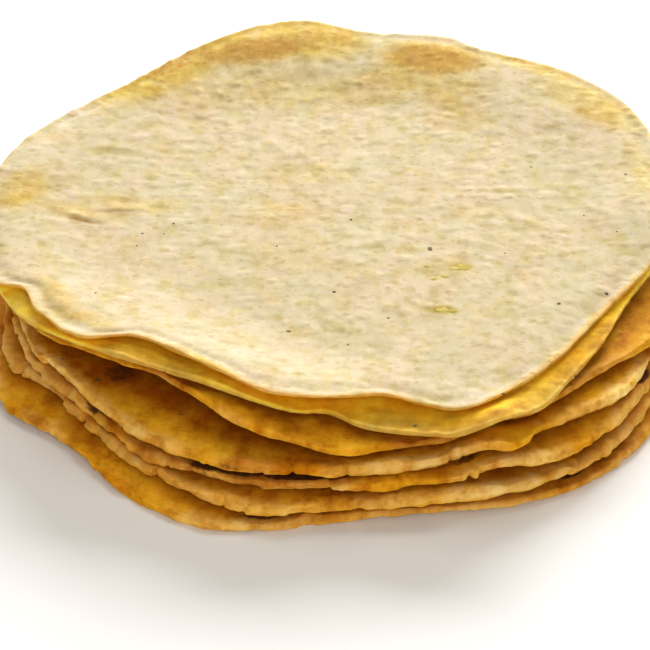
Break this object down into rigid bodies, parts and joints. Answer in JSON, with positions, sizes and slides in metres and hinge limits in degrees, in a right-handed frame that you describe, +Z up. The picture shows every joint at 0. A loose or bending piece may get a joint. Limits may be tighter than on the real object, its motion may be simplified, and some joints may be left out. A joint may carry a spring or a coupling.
{
  "type": "corn tortilla stack",
  "caption": "Loose stack of round corn tortillas with wavy, lifted rims, pale on top and toasted brown in the gaps, lying flat on its underside.",
  "frame": {"origin": "under the middle of the bottom tortilla, on the surface that the stack lies on", "axes": "+Z up, -Y towards the front of the stack, +X to the right as seen from the front"},
  "size_m": [0.1619, 0.1766, 0.0246],
  "materials": {
    "pale_masa": "matt, finely grained, with scattered dark flecks",
    "yellow_masa": "matt, finely grained, warm yellow",
    "golden_masa": "matt, finely grained, golden brown with toasted spots"
  },
  "bodies": {
    "root": {"tortilla_1_bottom": "golden_masa", "tortilla_2": "golden_masa", "tortilla_3": "golden_masa", "tortilla_4": "golden_masa", "tortilla_5": "golden_masa", "tortilla_6": "yellow_masa", "tortilla_7_top": "pale_masa"}
  },
  "joints": []
}
